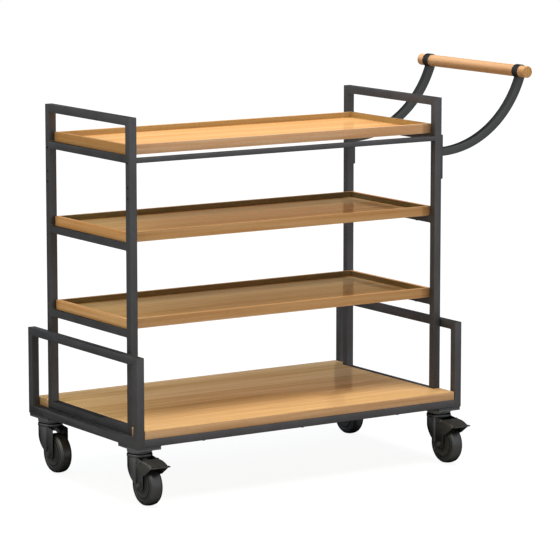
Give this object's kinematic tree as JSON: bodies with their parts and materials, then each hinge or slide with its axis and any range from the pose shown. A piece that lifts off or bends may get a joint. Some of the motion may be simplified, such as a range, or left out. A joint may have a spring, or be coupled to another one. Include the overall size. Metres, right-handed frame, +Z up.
{
  "type": "serving trolley",
  "caption": "Serving trolley with rimmed wooden trays over a deck board in a black tube frame, on swivel castors with brakes, pushed by a wooden bar on curved arms.",
  "frame": {"origin": "middle of the trolley's own box, on the floor that the wheels stand on", "axes": "+X along the trolley towards the push bar, +Y across it towards the back, +Z up; the braked castors are on the -Y side"},
  "size_m": [1.234, 0.6076, 1.025],
  "materials": {
    "frame": "satin black powder coat",
    "deck_wood": "lacquered, satin",
    "rim_wood": "lacquered, satin",
    "tray_wood": "lacquered, gloss",
    "bar_wood": "lacquered, satin",
    "fixings": "blackened",
    "castor_metal": "black, satin",
    "wheel_centre": "matte",
    "tyre": "matte rubber",
    "brake": "matte"
  },
  "bodies": {
    "trolley": {"end_hoop_left": "frame", "end_hoop_right": "frame", "side_rail_front": "frame", "side_rail_back": "frame", "cross_rail_left": "frame", "cross_rail_middle": "frame", "cross_rail_right": "frame", "end_frame_left": "frame", "end_frame_right": "frame", "tie_rail_front": "frame", "tie_rail_back": "frame", "deck_board": "deck_wood", "deck_screws": "fixings", "frame_bolts": "fixings", "tray_top_rim": "rim_wood", "tray_top_panel": "tray_wood", "tray_middle_rim": "rim_wood", "tray_middle_panel": "tray_wood", "tray_bottom_rim": "rim_wood", "tray_bottom_panel": "tray_wood", "tray_screws": "fixings", "handle_plate_front": "frame", "handle_plate_back": "frame", "handle_arm_front": "frame", "handle_arm_back": "frame", "handle_bar": "bar_wood", "handle_bolts": "fixings", "handle_set_screws": "fixings", "castor_pad_fl": "frame", "castor_pad_fr": "frame", "castor_pad_bl": "frame", "castor_pad_br": "frame", "castor_bolts": "fixings", "castor_plate_fl": "castor_metal", "castor_plate_fr": "castor_metal", "castor_plate_bl": "castor_metal", "castor_plate_br": "castor_metal"},
    "fork_fl": {"castor_fork_fl": "castor_metal", "castor_axle_fl": "fixings", "brake_pin_fl": "fixings"},
    "wheel_fl": {"castor_hub_fl": "wheel_centre", "castor_tyre_fl": "tyre"},
    "pedal_fl": {"brake_pedal_fl": "brake"},
    "fork_fr": {"castor_fork_fr": "castor_metal", "castor_axle_fr": "fixings", "brake_pin_fr": "fixings"},
    "wheel_fr": {"castor_hub_fr": "wheel_centre", "castor_tyre_fr": "tyre"},
    "pedal_fr": {"brake_pedal_fr": "brake"},
    "fork_bl": {"castor_fork_bl": "castor_metal", "castor_axle_bl": "fixings"},
    "wheel_bl": {"castor_hub_bl": "wheel_centre", "castor_tyre_bl": "tyre"},
    "fork_br": {"castor_fork_br": "castor_metal", "castor_axle_br": "fixings"},
    "wheel_br": {"castor_hub_br": "wheel_centre", "castor_tyre_br": "tyre"}
  },
  "joints": [
    {"name": "swivel_fl", "type": "hinge", "parent": "trolley", "child": "fork_fl", "pos_m": [-0.58203, -0.19675, 0.126], "axis": [0, 0, 1], "continuous": true},
    {"name": "roll_fl", "type": "hinge", "parent": "fork_fl", "child": "wheel_fl", "pos_m": [-0.58203, -0.23375, 0.0515], "axis": [1, 0, 0], "continuous": true},
    {"name": "brake_fl", "type": "hinge", "parent": "fork_fl", "child": "pedal_fl", "pos_m": [-0.58203, -0.24075, 0.112], "axis": [1, 0, 0], "range_deg": [0, 12]},
    {"name": "swivel_fr", "type": "hinge", "parent": "trolley", "child": "fork_fr", "pos_m": [0.32798, -0.19675, 0.126], "axis": [0, 0, 1], "continuous": true},
    {"name": "roll_fr", "type": "hinge", "parent": "fork_fr", "child": "wheel_fr", "pos_m": [0.32798, -0.23375, 0.0515], "axis": [1, 0, 0], "continuous": true},
    {"name": "brake_fr", "type": "hinge", "parent": "fork_fr", "child": "pedal_fr", "pos_m": [0.32798, -0.24075, 0.112], "axis": [1, 0, 0], "range_deg": [0, 12]},
    {"name": "swivel_bl", "type": "hinge", "parent": "trolley", "child": "fork_bl", "pos_m": [-0.58203, 0.25425, 0.126], "axis": [0, 0, 1], "continuous": true},
    {"name": "roll_bl", "type": "hinge", "parent": "fork_bl", "child": "wheel_bl", "pos_m": [-0.58203, 0.21725, 0.0515], "axis": [1, 0, 0], "continuous": true},
    {"name": "swivel_br", "type": "hinge", "parent": "trolley", "child": "fork_br", "pos_m": [0.32798, 0.25425, 0.126], "axis": [0, 0, 1], "continuous": true},
    {"name": "roll_br", "type": "hinge", "parent": "fork_br", "child": "wheel_br", "pos_m": [0.32798, 0.21725, 0.0515], "axis": [1, 0, 0], "continuous": true}
  ]
}
